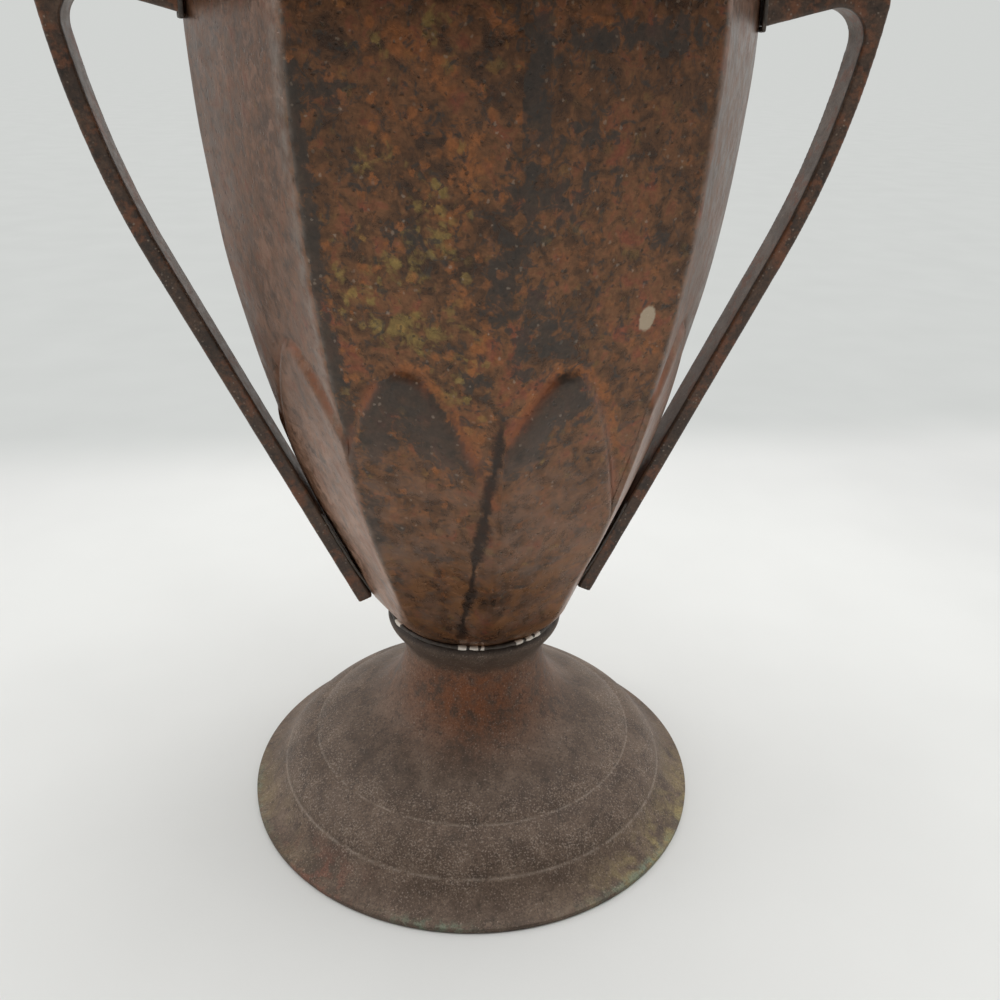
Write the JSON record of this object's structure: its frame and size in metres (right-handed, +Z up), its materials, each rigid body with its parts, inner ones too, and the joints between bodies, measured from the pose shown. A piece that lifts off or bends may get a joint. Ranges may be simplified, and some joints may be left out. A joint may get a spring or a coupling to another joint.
{
  "type": "urn vase",
  "caption": "Tall metal urn vase with a panelled body, a flared neck, a stepped round foot and two angular strap handles.",
  "frame": {"origin": "centre of the foot's resting face", "axes": "+Z up along the vase's axis, X through the two handles"},
  "size_m": [0.2028, 0.14, 0.3325],
  "materials": {
    "body": "semi-gloss mottled brown patina",
    "foot": "matt brown patina with dusty specks",
    "neck": "semi-gloss mottled brown patina",
    "handle": "dark brown patina, rubbed lighter on the edges",
    "rim_wire": "bare drawn wire",
    "solder": "dull grey solder"
  },
  "bodies": {
    "root": {"body": "body", "foot": "foot", "neck": "neck", "rim_wire": "rim_wire", "handle_left": "handle", "handle_right": "handle", "cup_solder": "solder", "neck_solder": "solder", "arm_solder_left": "solder", "arm_solder_right": "solder", "bar_solder_left": "solder", "bar_solder_right": "solder"}
  },
  "joints": []
}
